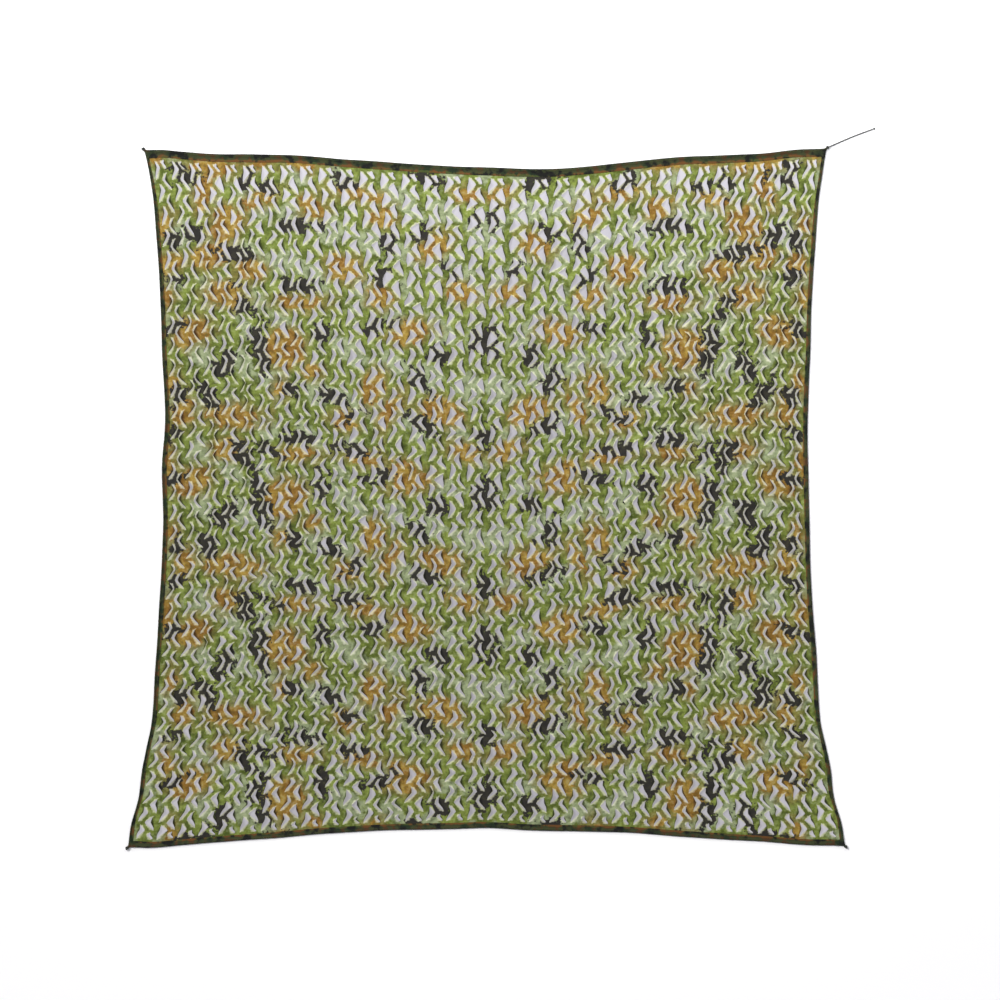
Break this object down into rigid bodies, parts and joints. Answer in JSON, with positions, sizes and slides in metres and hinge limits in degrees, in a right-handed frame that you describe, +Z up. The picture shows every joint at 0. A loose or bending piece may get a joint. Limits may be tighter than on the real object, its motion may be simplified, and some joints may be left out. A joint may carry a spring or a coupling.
{
  "type": "camouflage net",
  "caption": "Square sheet of incised camouflage cloth laid flat, its cuts opened into chevron holes with curled tongues, with bound concave sides, corner knots and a short corner tie.",
  "frame": {"origin": "on the surface the net lies on, under the middle of the net's bounding box (the corner tie not counted)", "axes": "+X to the right of the picture, along the net's bottom side; +Y up the picture, from the bottom side to the top side; +Z up out of the surface, the thin way"},
  "size_m": [3.2132, 3.0959, 0.0168],
  "materials": {
    "camouflage_cloth": "printed woven polyester, dull, in grass green, pale green, ochre brown and near black blotches",
    "binding_tape": "dark camouflage tape folded over a cord, dull",
    "dark_cord": "braided cord, near black, dull"
  },
  "bodies": {
    "root": {"net_cloth": "camouflage_cloth", "binding_top": "binding_tape", "binding_right": "binding_tape", "binding_bottom": "binding_tape", "binding_left": "binding_tape", "knot_top_left": "dark_cord", "knot_top_right": "dark_cord", "knot_bottom_right": "dark_cord", "knot_bottom_left": "dark_cord", "tie_cord": "dark_cord", "tie_end_knot": "dark_cord"}
  },
  "joints": []
}
